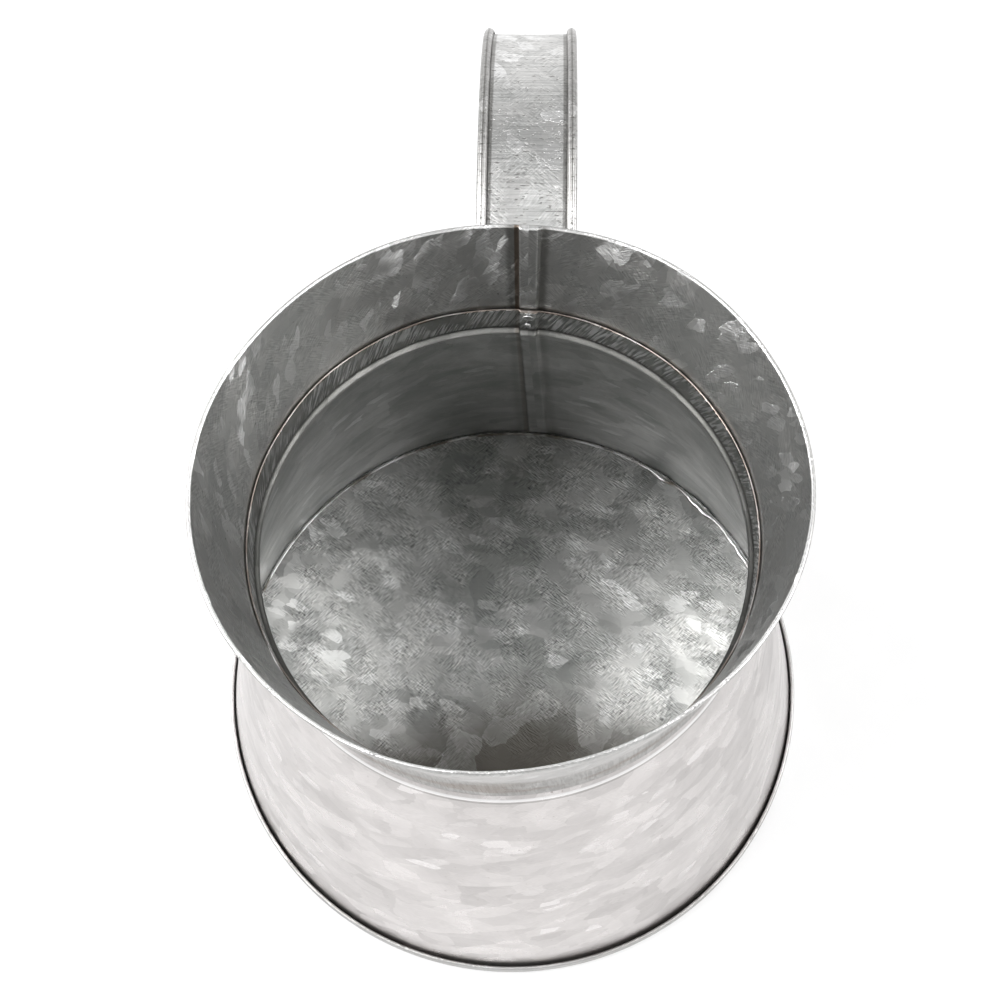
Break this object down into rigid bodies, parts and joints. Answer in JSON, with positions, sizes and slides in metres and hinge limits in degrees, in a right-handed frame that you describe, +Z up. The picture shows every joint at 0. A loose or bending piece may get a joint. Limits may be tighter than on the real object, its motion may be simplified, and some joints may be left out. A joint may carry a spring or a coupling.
{
  "type": "florist bucket",
  "caption": "Round sheet-metal bucket with a wide foot, a narrower neck, a flared collar and a fixed strap handle, for holding cut flowers in water.",
  "frame": {"origin": "centre of the flat underside of the bottom disc, on the bucket's axis", "axes": "+Z up along the bucket's axis, +Y towards the handle, +X to the right when the handle is at the back"},
  "size_m": [0.209, 0.2831, 0.1803],
  "materials": {
    "galvanised_floor": "hot-dip galvanised sheet, large spangle, scratched",
    "galvanised_body": "hot-dip galvanised sheet, pale spangle",
    "galvanised_collar": "hot-dip galvanised sheet, leaf-shaped spangle",
    "galvanised_handle": "hot-dip galvanised strip, brushed across",
    "edge_wire": "plain drawn wire",
    "solder": "dull soft solder"
  },
  "bodies": {
    "root": {"bottom_disc": "galvanised_floor", "body_wall": "galvanised_body", "collar": "galvanised_collar", "handle_strap": "galvanised_handle", "handle_wire_left": "edge_wire", "handle_wire_right": "edge_wire", "solder_floor": "solder", "solder_seam_upper": "solder", "solder_seam_lower": "solder", "solder_upper_tab_left": "solder", "solder_upper_tab_right": "solder", "solder_lower_tab_left": "solder", "solder_lower_tab_right": "solder"}
  },
  "joints": []
}
